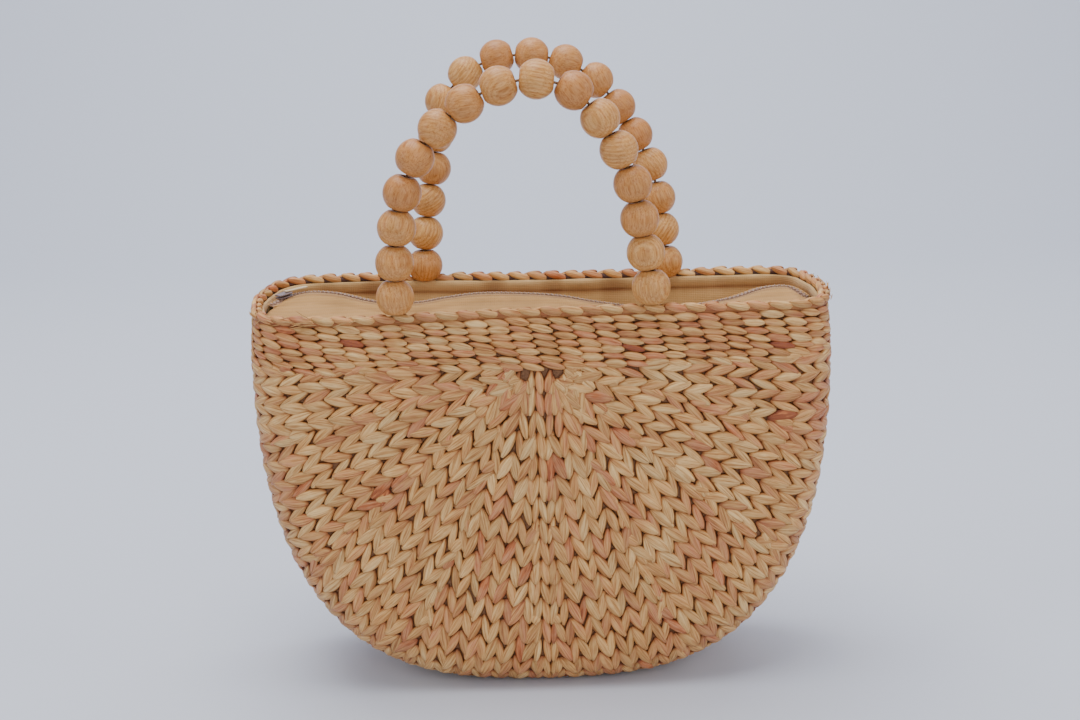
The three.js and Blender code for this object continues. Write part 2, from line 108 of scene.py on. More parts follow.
# Weave: the fan's rows run out from a strip in the middle, the band's rows run round the mouth
FAN_MIDDLE = -1.4
ROW_PITCH = 5.2
FAN_UNDER_BAND = 0.2
FAN_START = 5.0
FAN_ROW_REACH = 215
SECTOR_LAP = 1.6
SECTORS = [(0.0, 23.0), (23.0, 49.0), (49.0, 75.0), (75.0, 91.0)]
FAN_SLANT = 17.5
FAN_WIDTHS = (6.3, 7.7)
FAN_CROWNS = (0.3, 0.6)
FAN_ROW_SHIFT = 0.22
STRIP_ROWS = 3
STRIP_PITCH = 4.4
STRIP_SLANT = 9.0
STRIP_WIDTH = 5.8
COLLAR_ROWS = 4
STITCH_PITCH = 11.7
TUCKED_LAP = 0.18
FREE_LAP = 0.1
START_SLACK = 0.35
FEWEST_POINTS = 8
LONGEST_ROW = 320.0
ROW_STEP = 3.0
EDGE_POINTS = 10
GUSSET_POINTS = 8
PANEL_SIDE = 34
BAND_ROWS = 7
BAND_LOW = 182.2
BAND_PITCH = 10.9
BAND_SLANT = -9.0
BAND_DRIFT = 0.11
BAND_SAMPLES = 900
BAND_LAP_SAMPLES = 40
PALE_SIZE = (5.7, 0.6)
RED_SIZE = (5.1, 0.42)
MARKED_SHARE = 0.012
BACKING = 1.7
BACKING_STEPS = (8, 8, 6)

# The plaited edge: its folds, and the places of loose strands as distance along it, spread and number
RIM_PITCH = 10.8
RIM_SEGMENT = 13.0
RIM_LOOSE = [(178.0, 12.0, 34), (620.0, 16.0, 22)]
RIM_SAMPLES = 1400
RIM_SINK = 0.3
CORE_SAMPLES = 500
CORE_SINK = 1.3
CORE_RADIUS = 2.4
FOLD_RADIUS = 2.05
FOLD_OUT = 1.35
FOLD_UP = 1.55
LOOSE_RADIUS = 0.34
FOOT_BEADS = [(-65.2, 47.0), (73.1, 47.0)]
DENT_REACH = 11
DENT_DEPTH = 2.4


def srgb(red, green, blue):
    """A colour from its display values, 0 to 255, as linear numbers."""
    shares = (red / 255, green / 255, blue / 255)
    return tuple(s / 12.92 if s <= 0.04 else ((s + 0.055) / 1.055) ** 2.4 for s in shares) + (1.0,)


def grey(value):
    return (value, value, value, 1.0)


# Meshes

def add_mesh(name, points, faces, material, attributes=(), smooth=True):
    """A mesh object from points in millimetres and an array of quads or a list of faces."""
    mesh = bpy.data.meshes.new(name)
    faces = faces if isinstance(faces, list) else faces.tolist()
    mesh.from_pydata((np.asarray(points) * MM).tolist(), [], faces)
    mesh.materials.append(material)
    for key, values in attributes:
        kind, field = ("FLOAT_VECTOR", "vector") if values.ndim == 2 else ("FLOAT", "value")
        layer = mesh.attributes.new(key, kind, "POINT")
        layer.data.foreach_set(field, values.astype(np.float32).ravel())
    if smooth:
        mesh.polygons.foreach_set("use_smooth", np.ones(len(mesh.polygons), bool))
    mesh.update()
    piece = bpy.data.objects.new(name, mesh)
    bpy.context.scene.collection.objects.link(piece)
    return piece


def grid_faces(rows, columns, closed=False, first=0):
    """Quads between the rows of a grid of points."""
    i, j = np.meshgrid(np.arange(rows - 1), np.arange(columns if closed else columns - 1), indexing="ij")
    k = (j + 1) % columns
    quads = np.stack([i * columns + j, i * columns + k, (i + 1) * columns + k, (i + 1) * columns + j], -1)
    return quads.reshape(-1, 4) + first


def tube_faces(rows, sides, first=0):
    """The faces of a closed tube, from its rings of points."""
    last = first + (rows - 1) * sides
    ends = [list(range(first, first + sides))[::-1], list(range(last, last + sides))]
    return grid_faces(rows, sides, closed=True, first=first).tolist() + ends


def unit(v):
    return v / np.maximum(np.linalg.norm(v, axis=-1, keepdims=True), 1e-9)


def finish_piece(piece, slot, *nodes):
    """Gives a piece its body and hides the nodes that it stands for; the slot is not used."""
    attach(piece, "root")
    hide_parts(*nodes)


# The form of the bag

ANGLES = np.radians(np.linspace(-90, 90, 721))


def solve_outline():
    """How far the outline lies from the fan's centre, for each of ANGLES from straight down."""
    side = np.abs(np.sin(ANGLES)) / HALF_WIDTH
    down = np.abs(np.cos(ANGLES)) / (FAN_HEIGHT + FOOT_TUCK)
    low, high = np.zeros(len(ANGLES)), np.full(len(ANGLES), HALF_WIDTH + FAN_HEIGHT)
    for _ in range(50):
        middle = (low + high) / 2
        inside = (middle * side) ** SIDE_POWER + (middle * down) ** DROP_POWER < 1
        low, high = np.where(inside, middle, low), np.where(inside, high, middle)
    return low


OUTLINE = solve_outline()


def outline_reach(angle):
    return np.interp(angle, ANGLES, OUTLINE)


def mouth_wave(x, y):
    near = np.exp(-(((x - WAVE_PLACE) / WAVE_REACH) ** 2))
    to_back = np.clip(0.5 + y / BAG_DEPTH, 0, 1)
    return near * (BACK_LIFT * to_back - FRONT_SAG * (1 - to_back))


def panel_bulge(x, z):
    high = np.clip(z / WALL_TOP, 0, 1)
    wide = np.minimum(1, np.abs(x) / HALF_WIDTH)
    return PANEL_BULGE * 4 * high * (1 - high) * (1 - wide * wide)


def edge_reach(angle, inset=0.0):
    """Where the round edge ends, from the fan's centre, at an angle from straight down."""
    return outline_reach(angle) - GUSSET_BULGE * np.abs(np.sin(angle)) - inset


def half_section(flat_steps, round_steps, gusset_steps):
    """The way across the bag's front half, as (share of the flat, turn of the edge, y of the gusset) rows."""
    flats = [(share, 0.0, None) for share in np.linspace(0, 1, flat_steps, endpoint=False)]
    turns = [(1.0, turn, None) for turn in np.linspace(0, math.pi / 2, round_steps, endpoint=False)]
    gusset = [(1.0, math.pi / 2, -FLAT_HALF * share) for share in np.linspace(1, 0, gusset_steps)]
    return flats + turns + gusset


def section_points(angle, rise, inset, rows):
    """The front half's points at one station, from the panel's middle to the middle of the gusset."""
    sideways, down = math.sin(angle), math.cos(angle)
    edge = edge_reach(angle, inset) - MOUTH_PULL * rise * rise
    turned = EDGE_RADIUS - inset
    depth = HALF_DEPTH - inset
    points = []
    for share, turn, across in rows:
        if across is None:
            out = (edge - turned) * share + turned * math.sin(turn)
            y = -(depth - turned + turned * math.cos(turn))
        else:
            swell = 1 - (abs(across) / FLAT_HALF) ** GUSSET_POWER
            out = edge + GUSSET_BULGE * abs(sideways) * swell
            y = across * (depth - turned) / FLAT_HALF
        x = out * sideways
        z = max(FAN_HEIGHT - out * down, inset)
        y -= math.cos(turn) * panel_bulge(x, z + rise * (WALL_TOP - FAN_HEIGHT))
        points.append((x, y, z + rise * (WALL_TOP + mouth_wave(x, y) - FAN_HEIGHT)))
    return np.array(points)


def whole_section(angle, rise, inset, rows):
    """The same on both halves, from the front panel's middle over the gusset to the back panel's middle."""
    front = section_points(angle, rise, inset, rows)
    back = front[:-1][::-1] * (1, -1, 1)
    wave = rise * (mouth_wave(back[:, 0], back[:, 1]) - mouth_wave(back[:, 0], -back[:, 1]))
    back[:, 2] += wave
    return np.concatenate([front, back])


def mouth_loop(inset, rise=1.0):
    """A closed line round the mouth, from the middle of the front towards the right."""
    rows = half_section(*MOUTH_STEPS)
    right = whole_section(math.pi / 2, rise, inset, rows)
    left = whole_section(-math.pi / 2, rise, inset, rows)
    return np.concatenate([right, left[1:-1][::-1]])


def distances(points):
    """How far along a line each of its points is."""
    return np.concatenate([[0], np.cumsum(np.linalg.norm(np.diff(points, axis=0), axis=1))])


def interpolate(at, places, values, period=None):
    """Points or directions along a line, read between the places where they are known."""
    return np.stack([np.interp(at, places, values[:, k], period=period) for k in range(3)], -1)


def level_side(ahead):
    """The level directions to the right of a line's own."""
    return unit(np.stack([ahead[:, 1], -ahead[:, 0], np.zeros(len(ahead))], 1))


def resample(points, count, closed=False):
    """Points evenly spaced along a line, their distances along it and its length."""
    line = np.concatenate([points, points[:1]]) if closed else points
    along = distances(line)
    at = np.linspace(0, along[-1], count, endpoint=not closed)
    return interpolate(at, along, line), at, along[-1]


# Stitches

STATIONS = 9
ACROSS = np.array([-1.0, -0.72, -0.26, 0.26, 0.72, 1.0])
UNDER = np.array([0.5, -0.5])
ARCH = (1 - np.abs(ACROSS) ** 2.6) ** 0.8
WIDTH_RANGE = (0.8, 0.36)
CROWN_RANGE = (0.8, 0.4)
SLANT_SPREAD = 11
TILT_SPREAD = 0.7
END_SPREAD = 0.1
ASIDE_SPREAD = 0.9
CREASED_SHARE = 0.55
FREE_LIFT = 0.8
STITCH_BASE = 1.25
TUCK_DEPTH = 0.7
UNDERSIDE = 0.5


class Weave:
    """Collects closed folds of straw for one mesh."""

    def __init__(self, seed):
        self.random = np.random.default_rng(seed)
        self.points, self.faces, self.strand, self.hue_tone_painted_shade = [], [], [], []
        self.count = 0

    def fold(self, rings, along, edges, hue, shade, spread):
        """A closed fold from its rings of points, their places along and across it, its hue and its painted
        shade.
        """
        rows, sides = rings.shape[:2]
        first, size = self.count, rows * sides
        self.count += size
        self.points.append(rings.reshape(-1, 3))
        self.faces += [face[::-1] for face in tube_faces(rows, sides, first)]
        offset, tone = self.random.random() * spread, self.random.random()
        places = np.repeat(along, sides) + offset
        self.strand.append(np.stack([places, np.tile(edges, rows), np.full(size, offset)], 1))
        self.hue_tone_painted_shade.append(np.stack([np.full(size, hue), np.full(size, tone), shade.ravel()], 1))

    def add(self, line, normals, turns, first, last, slant, width, height, hue, free_end=1):
        """One lens-shaped stitch on a line from turn first to turn last, in degrees and millimetres.

        Its free end lies over the next stitch. Its other end is tucked under the one before.
        """
        draw = self.random.random

        def either_way(spread):
            return spread * (draw() - 0.5)

        width *= WIDTH_RANGE[0] + WIDTH_RANGE[1] * draw()
        height *= CROWN_RANGE[0] + CROWN_RANGE[1] * draw()
        slant += either_way(SLANT_SPREAD)
        tilt = either_way(TILT_SPREAD)
        first = max(first + either_way(END_SPREAD), turns[0])
        last = min(last + either_way(END_SPREAD), turns[-1])
        aside = either_way(ASIDE_SPREAD)
        crease = 0.2 + 0.25 * draw() if draw() < CREASED_SHARE else 0.0
        crease_at = self.random.integers(2, 4)
        u = np.linspace(0, 1, STATIONS)
        v = u if free_end > 0 else 1 - u
        turn = first + u * (last - first)
        centre = interpolate(turn, turns, line)
        normal = unit(interpolate(turn, turns, normals))
        ahead = unit(np.gradient(centre, axis=0))
        side = unit(np.cross(normal, ahead))
        normal = np.cross(ahead, side)
        along = distances(centre)
        angle = math.radians(slant)
        lateral = (along - along[-1] / 2) * math.tan(angle) + aside
        across = side * math.cos(angle) - ahead * math.sin(angle)
        bell = np.sin(math.pi * (0.03 + 0.94 * u))
        half = width / 2 * np.sin(math.pi * (0.07 + 0.88 * v ** 1.1)) ** 0.55
        crown = height * bell ** 0.6 + FREE_LIFT * (v - 0.55) + either_way(0.2)
        base = -STITCH_BASE - TUCK_DEPTH * (1 - v)
        middle = centre + side * lateral[:, None]
        level = base[:, None] + (crown - base)[:, None] * ARCH + (tilt * bell)[:, None] * ACROSS * 0.6
        level[:, crease_at] -= crease * bell
        upper = middle[:, None] + across[:, None] * (half[:, None] * ACROSS)[..., None]
        upper = upper + normal[:, None] * level[..., None]
        lower = middle[:, None] + across[:, None] * (half[:, None] * UNDER)[..., None]
        lower = lower + normal[:, None] * (base - UNDERSIDE)[:, None, None]
        ring = np.concatenate([upper, lower], 1)
        ring[..., 2] = np.maximum(ring[..., 2], 0.0)
        # Painted shade: darker where the stitch falls away from its crown, towards its tucked end and at its
        # tips; its underside is fully shaded.
        fall = (crown[:, None] - level) / 2.4 + 0.5 * (1 - v[:, None]) ** 5 + 0.2 * (1 - bell[:, None]) ** 2
        shade = np.concatenate([np.clip(fall, 0, 1), np.ones((STATIONS, len(UNDER)))], 1)
        self.fold(ring, along, np.concatenate([ACROSS, UNDER]) * width / 2, hue, shade, 900)

    def build(self, name, material):
        attributes = [("strand", np.concatenate(self.strand)), ("hue_tone_painted_shade", np.concatenate(self.hue_tone_painted_shade))]
        return add_mesh(name, np.concatenate(self.points), self.faces, material, attributes)


def row_line(side, direction, offset, start, flats=None):
    """One row of the fan's front half, from its start over the panel and the edge to the gusset's middle.

    Returns its points, how far along each is, how far the flat ones are from the fan's middle,
    and how far from there the flat ends.
    """
    middle = FAN_MIDDLE + (side * STRIP_ROWS / 2 * STRIP_PITCH if direction else 0)
    centre = np.array([middle, BAND_LOW - FAN_UNDER_BAND])
    heading = math.radians(direction) * side
    ahead = np.array([math.sin(heading), -math.cos(heading)])
    beside = np.array([math.cos(heading), math.sin(heading)]) * side

    def place(t):
        return centre + np.multiply.outer(t, ahead) + offset * beside

    def reach(turn, swell):
        low, high = np.zeros(len(turn)), np.full(len(turn), LONGEST_ROW)
        for _ in range(30):
            t = (low + high) / 2
            p = place(t)
            r = np.hypot(p[:, 0], p[:, 1] - FAN_HEIGHT)
            angle = np.clip(np.arctan2(p[:, 0], FAN_HEIGHT - p[:, 1]), ANGLES[0], ANGLES[-1])
            target = edge_reach(angle) - EDGE_RADIUS * (1 - np.sin(turn))
            target = target + GUSSET_BULGE * np.abs(np.sin(angle)) * swell
            low, high = np.where(r < target, t, low), np.where(r < target, high, t)
        return low

    turns = np.linspace(0, math.pi / 2, EDGE_POINTS)
    gusset_y = np.linspace(-FLAT_HALF, 0, GUSSET_POINTS)[1:]
    swell = 1 - (np.abs(gusset_y) / FLAT_HALF) ** GUSSET_POWER
    bends = np.concatenate([turns, np.full(len(gusset_y), math.pi / 2)])
    over = reach(bends, np.concatenate([np.zeros(len(turns)), swell]))
    if flats is None:
        flats = max(0, int((over[0] - start) / ROW_STEP))
    flat_t = np.linspace(start, over[0], flats, endpoint=False)
    reached = np.concatenate([flat_t, over])
    spot = place(reached)
    x, z = spot[:, 0], np.maximum(spot[:, 1], 0)
    y = -np.concatenate([np.full(flats, HALF_DEPTH), FLAT_HALF + EDGE_RADIUS * np.cos(turns), -gusset_y])
    y -= np.concatenate([np.ones(flats), np.cos(turns), np.zeros(len(gusset_y))]) * panel_bulge(x, z)
    from_middle = np.hypot(*(place(flat_t) - centre).T)
    return np.stack([x, y, z], 1), reached, from_middle, float(np.hypot(*(place(over[0]) - centre)))


def whole_row(side, direction, offset, start):
    """A row from its start on the front panel over the gusset to its end on the back.

    Returns its points, its normals, how many stitches along it each point is, and the same for its middle.
    """
    line, reached, from_middle, end_radius = row_line(side, direction, offset, start)
    kept = reached >= start - 0.01
    if kept[:-FEWEST_POINTS].sum() == 0:
        return None
    flats = len(from_middle)
    beside = row_line(side, direction, offset + 0.5, start, flats)[0]
    beyond = distances(line[flats:])
    turn_end = end_radius / STITCH_PITCH
    middle = round(2 * (turn_end + beyond[-1] / STITCH_PITCH)) / 2
    turns = np.concatenate([from_middle / STITCH_PITCH, turn_end + (middle - turn_end) * beyond / beyond[-1]])
    normals = unit(np.cross(np.gradient(line, axis=0), beside - line))
    outward = line * (1, 3, 1) - (0, 0, FAN_HEIGHT / 2)
    normals *= np.sign((normals * outward).sum(1, keepdims=True))
    line, normals, turns = line[kept], normals[kept], turns[kept]
    flip = np.array([1, -1, 1])
    line = np.concatenate([line, line[:-1][::-1] * flip])
    normals = np.concatenate([normals, normals[:-1][::-1] * flip])
    turns = np.concatenate([turns, 2 * middle - turns[:-1][::-1]])
    return line, normals, turns, middle


def fan_hue(random):
    """How reddish a fan's stitch is: mostly pale straw, some pink, a few rusty."""
    kind, shift = random.random(), random.random()
    if kind < 0.7:
        return 0.06 + 0.36 * shift
    return 0.42 + 0.26 * shift if kind < 0.98 else 0.72 + 0.2 * shift


def fan_rows():
    """Each row's side, direction, offset, start, slant and whether it is one of the wide ones."""
    rows = []
    middle = (STRIP_ROWS - 1) / 2
    for i in range(-COLLAR_ROWS, STRIP_ROWS + COLLAR_ROWS):
        offset = (i - middle) * STRIP_PITCH
        rows.append((1, 0.0, offset, 0.0, STRIP_SLANT * (1 if i % 2 else -1), i == middle))
    for side in (1, -1):
        number = 0
        for low, high in SECTORS:
            half = math.radians(high - low) / 2
            count = int(FAN_ROW_REACH * math.sin(half) / ROW_PITCH) + 1
            for j in range(-count, count):
                offset = (j + 0.5) * ROW_PITCH
                start = max(FAN_START, (abs(offset) - SECTOR_LAP) / math.tan(half))
                number += 1
                wide = number % 2 == 0
                slant = (FAN_SLANT if wide else -FAN_SLANT) * side
                rows.append((side, (low + high) / 2, offset, start, slant, wide))
    return rows


def stitch_fan(weaves):
    """Fills the front, gusset and back weaves with the fan's stitches."""
    for side, direction, offset, start, slant, wide in fan_rows():
        made = whole_row(side, direction, offset, start)
        if made is None:
            continue
        line, normals, turns, middle = made
        first = math.floor(turns[0] + START_SLACK)
        width = FAN_WIDTHS[wide] if direction else STRIP_WIDTH
        height = FAN_CROWNS[wide]
        collar = not direction and abs(offset) > STRIP_ROWS / 2 * STRIP_PITCH
        count = int(2 * middle) - 2 * first
        shift = FAN_ROW_SHIFT * (weaves["front"].random.random() - 0.5) if direction else 0.0
        for k in (0, count - 1) if collar else range(count):
            begin = max(first + k, turns[0])
            end = min(first + k + 1, turns[-1])
            place = (begin + end) / 2
            depth = np.interp(place, turns, line[:, 1])
            weave = weaves["front" if depth < -PANEL_SIDE else "back" if depth > PANEL_SIDE else "gusset"]
            free_end = 1 if place < middle else -1
            before, after = (TUCKED_LAP, FREE_LAP) if free_end > 0 else (FREE_LAP, TUCKED_LAP)
            hue = fan_hue(weave.random)
            begin, end = begin - before + shift * free_end, end + after + shift * free_end
            weave.add(line, normals, turns, begin, end, slant, width, height, hue, free_end)


def stitch_band(weave):
    """The rows round the mouth, pale and reddish by turns."""
    for i in range(BAND_ROWS):
        share = (i + 0.5) / BAND_ROWS
        rise = (BAND_LOW - FAN_HEIGHT + share * (WALL_TOP - BAND_LOW)) / (WALL_TOP - FAN_HEIGHT)
        line, _, length = resample(mouth_loop(0.0, rise), BAND_SAMPLES, closed=True)
        line = np.concatenate([line, line[:BAND_LAP_SAMPLES]])
        normals = level_side(np.gradient(line, axis=0))
        count = 2 * round(length / BAND_PITCH / 2)
        turns = np.arange(len(line)) / BAND_SAMPLES * count
        for k in range(count):
            begin = k + 1 - BAND_DRIFT * i
            pale = (k + i) % 2 == 0
            draw = weave.random.random()
            hue = 0.05 + 0.3 * draw if pale else 0.38 + 0.34 * draw
            if weave.random.random() < MARKED_SHARE:
                hue += MARK
            width, height = PALE_SIZE if pale else RED_SIZE
            weave.add(line, normals, turns, begin - 0.1, begin + 1.08, BAND_SLANT, width, height, hue)


# Materials: a stitch's hue is 0 for pale to 1 for rusty, and a marked one has MARK added

MARK = 2
STRAW_HUES = [
    (0.0, srgb(234, 194, 132)), (0.25, srgb(221, 173, 108)), (0.5, srgb(213, 156, 99)),
    (0.72, srgb(208, 142, 99)), (0.9, srgb(200, 120, 68)), (1.0, srgb(160, 86, 46)),
]
# Painted shade: how much darker the straw is drawn, from none up to deep shade between and under stitches.
STRAW_SHADE = [
    (0.25, grey(1.0)), (0.5, srgb(222, 198, 174)), (0.75, srgb(158, 118, 86)), (1.0, srgb(90, 58, 36)),
]


def new_material(name):
    material = bpy.data.materials.new(name)
    material.use_nodes = True
    tree = material.node_tree
    tree.nodes.clear()
    output = tree.nodes.new("ShaderNodeOutputMaterial")
    shader = tree.nodes.new("ShaderNodeBsdfPrincipled")
    tree.links.new(shader.outputs[0], output.inputs[0])
    return material, tree, shader


def fill(tree, made, inputs):
    """Fills a node's inputs: a value is set, a socket is linked."""
    for key, value in dict(inputs).items():
        if isinstance(value, bpy.types.NodeSocket):
            tree.links.new(value, made.inputs[key])
        else:
            made.inputs[key].default_value = value


def node(tree, kind, inputs=(), **settings):
    """A shader node with its settings and inputs."""
    made = tree.nodes.new(kind)
    for key, value in settings.items():
        setattr(made, key, value)
    fill(tree, made, inputs)
    return made


def cover(tree, shader, inputs, height, strength, depth=0.0003):
    """Fills a shader's inputs and gives it a bump."""
    bump = node(tree, "ShaderNodeBump", {"Height": height, "Strength": strength, "Distance": depth})
    fill(tree, shader, {"Normal": bump.outputs[0], **inputs})


def attribute(tree, name, output="Vector"):
    return node(tree, "ShaderNodeAttribute", attribute_name=name).outputs[output]


def object_place(tree):
    return node(tree, "ShaderNodeTexCoord").outputs["Object"]


def scaled(tree, vector, scale):
    """A vector with each of its parts multiplied."""
    return node(tree, "ShaderNodeVectorMath", {0: vector, 1: scale}, operation="MULTIPLY").outputs[0]


def noise(tree, vector, scale=1.0, detail=2.0, roughness=0.5):
    inputs = {"Vector": vector, "Scale": scale, "Detail": detail, "Roughness": roughness}
    return node(tree, "ShaderNodeTexNoise", inputs).outputs["Fac"]


def ramp(tree, factor, stops):
    made = node(tree, "ShaderNodeValToRGB", {"Fac": factor})
    elements = made.color_ramp.elements
    while len(elements) < len(stops):
        elements.new(0.5)
    for element, (place, colour) in zip(elements, stops):
        element.position = place
        element.color = colour
    return made.outputs[0]


def mix(tree, factor, a, b, blend="MIX"):
    inputs = {0: factor, 6: a, 7: b}
    return node(tree, "ShaderNodeMix", inputs, data_type="RGBA", blend_type=blend).outputs[2]


def layered(tree, colour, layers):
    """A colour multiplied by layers, each a factor and its stops."""
    for factor, stops in layers:
        colour = mix(tree, 1.0, colour, ramp(tree, factor, stops), "MULTIPLY")
    return colour


def maths(tree, operation, a, b):
    return node(tree, "ShaderNodeMath", {0: a, 1: b}, operation=operation).outputs[0]


def straw_material(name):
    """Flat folded straw: its hue, tone and painted shade come with each stitch, and its fibres run along it.
    """
    material, tree, shader = new_material(name)
    strand = attribute(tree, "strand")
    hue, tone, shade = node(tree, "ShaderNodeSeparateXYZ", {0: attribute(tree, "hue_tone_painted_shade")}).outputs
    blotch = noise(tree, scaled(tree, strand, (0.14, 0.4, 1.0)))
    patch = noise(tree, object_place(tree), 22.0)
    drift = maths(tree, "SUBTRACT", maths(tree, "ADD", blotch, patch), 1.0)
    body = ramp(tree, maths(tree, "ADD", hue, maths(tree, "MULTIPLY", drift, 0.9)), STRAW_HUES)
    broad = noise(tree, scaled(tree, strand, (0.05, 0.95, 1.0)), 1.0, 2.0, 0.6)
    fine = noise(tree, scaled(tree, strand, (0.12, 3.2, 1.0)), 1.0, 2.0, 0.6)
    fibre = maths(tree, "ADD", maths(tree, "MULTIPLY", broad, 0.6), maths(tree, "MULTIPLY", fine, 0.4))
    shaded = layered(tree, body, [
        (fibre, [(0.33, srgb(172, 138, 112)), (0.45, srgb(226, 208, 190)), (0.56, grey(1.0))]),
        (tone, [(0.0, grey(0.8)), (1.0, grey(1.04))]),
        (shade, STRAW_SHADE),
    ])
    scar = noise(tree, scaled(tree, strand, (0.5, 1.6, 1.0)))
    marked = maths(tree, "GREATER_THAN", hue, 1.5)
    scarred = maths(tree, "MULTIPLY", marked, maths(tree, "GREATER_THAN", scar, 0.58))
    colour = mix(tree, scarred, shaded, srgb(132, 66, 48))
    inputs = {"Base Color": colour, "Roughness": 0.48, "Specular IOR Level": 0.4}
    cover(tree, shader, inputs, fibre, 0.8, 0.0006)
    return material


def plain_material(name, dark, light, roughness, scale=700.0):
    """One colour with fine wear, for the wall's shadow, the zip and the threads."""
    material, tree, shader = new_material(name)
    wear = noise(tree, object_place(tree), scale, 3.0)
    colour = ramp(tree, wear, [(0.3, dark), (0.7, light)])
    fill(tree, shader, {"Base Color": colour, "Roughness": roughness})
    return material


def cotton_material(name, dark, light):
    """Plain woven cotton with fine crossing threads, soft clouds of tone and painted shade in its folds."""
    material, tree, shader = new_material(name)
    place = object_place(tree)
    cloud = noise(tree, place, 60.0, 4.0, 0.6)
    slub = {"Vector": place, "Scale": 300.0, "Distortion": 0.3, "Detail Scale": 2.0}
    warp = node(tree, "ShaderNodeTexWave", slub, bands_direction="X")
    weft = node(tree, "ShaderNodeTexWave", slub, bands_direction="Z")
    threads = maths(tree, "ADD", warp.outputs["Fac"], weft.outputs["Fac"])
    colour = layered(tree, ramp(tree, cloud, [(0.3, dark), (0.7, light)]), [
        (threads, [(0.2, grey(0.9)), (1.0, grey(1.0))]),
        # Painted shade in the folds, from the cloth's fold numbers.
        (attribute(tree, "fold", "Fac"), [(0.0, grey(1.0)), (1.0, srgb(150, 112, 80))]),
    ])
    cover(tree, shader, {"Base Color": colour, "Roughness": 0.92, "Sheen Weight": 0.1}, threads, 0.3)
    return material


def bead_material():
    """Turned light wood: faint growth rings, fine fibres and short pores along the grain, a satin varnish,
    and painted shade inside the hole.
    """
    material, tree, shader = new_material("bead_wood")
    grain = attribute(tree, "grain")
    rings = node(tree, "ShaderNodeTexWave", {
        "Vector": scaled(tree, grain, (0.16, 0.02, 0.05)), "Scale": 1.0,
        "Distortion": 2.0, "Detail": 1.0, "Detail Scale": 1.0, "Detail Roughness": 0.5,
    }, bands_direction="X")
    fibres = noise(tree, scaled(tree, grain, (1.3, 0.09, 1.3)), 1.0, 3.0, 0.65)
    pores = noise(tree, scaled(tree, grain, (3.4, 0.3, 3.4)), 1.0, 2.0, 0.6)
    soft = noise(tree, scaled(tree, grain, (0.16, 0.05, 0.16)))
    growth = [(0.0, srgb(222, 172, 106)), (0.6, srgb(216, 162, 96)), (1.0, srgb(205, 146, 82))]
    light = ramp(tree, rings.outputs["Fac"], growth)
    colour = mix(tree, attribute(tree, "warmth", "Fac"), light, srgb(196, 134, 76))
    colour = layered(tree, colour, [
        (soft, [(0.3, grey(0.86)), (0.7, grey(1.04))]),
        (fibres, [(0.36, srgb(226, 206, 182)), (0.54, grey(1.0))]),
        (pores, [(0.32, srgb(200, 158, 124)), (0.4, grey(1.0))]),
        # Painted shade: the inside of the hole is drawn dark.
        (attribute(tree, "inside", "Fac"), [(0.0, grey(1.0)), (1.0, srgb(96, 58, 34))]),
    ])
    cover(tree, shader, {"Base Color": colour, "Roughness": 0.38, "Specular IOR Level": 0.35}, fibres, 0.1)
    return material


# The body

def build_backing(material):
    """The wall behind the stitches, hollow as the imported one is, with its faces a little inside it."""
    rows = half_section(*BACKING_STEPS)
    stations = [(ANGLES[0], rise) for rise in (1.0, 0.66, 0.33)]
    stations += [(angle, 0.0) for angle in np.radians(np.linspace(-90, 90, 61))]
    stations += [(ANGLES[-1], rise) for rise in (0.33, 0.66, 1.0)]
    outer = np.array([whole_section(angle, rise, BACKING, rows) for angle, rise in stations])
    inner = np.array([whole_section(angle, rise, WALL, rows) for angle, rise in stations])
    tall, wide = outer.shape[:2]
    start = tall * wide
    faces = [grid_faces(tall, wide), grid_faces(tall, wide, first=start)[:, ::-1]]
    for row, flipped in ((0, True), (tall - 1, False)):
        j = np.arange(wide - 1) + row * wide
        quads = np.stack([j, j + 1, j + 1 + start, j + start], -1)
        faces.append(quads if flipped else quads[:, ::-1])
    points = np.concatenate([outer.reshape(-1, 3), inner.reshape(-1, 3)])
    piece = add_mesh("wall_backing", points, np.concatenate(faces), material)
    welded = bmesh.new()
    welded.from_mesh(piece.data)
    bmesh.ops.remove_doubles(welded, verts=welded.verts, dist=0.001 * MM)
    welded.to_mesh(piece.data)
    welded.free()
    finish_piece(piece, "straw", "basket_body")


def build_weave(material):
    weaves = {name: Weave(seed) for seed, name in enumerate(("front", "gusset", "back", "band"), 11)}
    stitch_fan(weaves)
    stitch_band(weaves["band"])
    for name, weave in weaves.items():
        finish_piece(weave.build("weave_" + name, material), "straw", "basket_body")


def rim_line():
    """The middle of the plaited edge, its way out from the bag, its way up, its places and its length."""
    line, at, length = resample(mouth_loop(WALL / 2), RIM_SAMPLES, closed=True)
    line[:, 2] += BRAID_MIDDLE - WALL_TOP - RIM_SINK + np.clip(0.5 + line[:, 1] / BAG_DEPTH, 0, 1)
    for x, y in FOOT_BEADS:
        near = np.hypot(line[:, 0] - x, line[:, 1] - y) / DENT_REACH
        line[:, 2] -= DENT_DEPTH * np.exp(-near ** 2)
    ahead = unit(np.roll(line, -1, 0) - np.roll(line, 1, 0))
    out = level_side(ahead)
    return line, out, np.cross(out, ahead), at, length


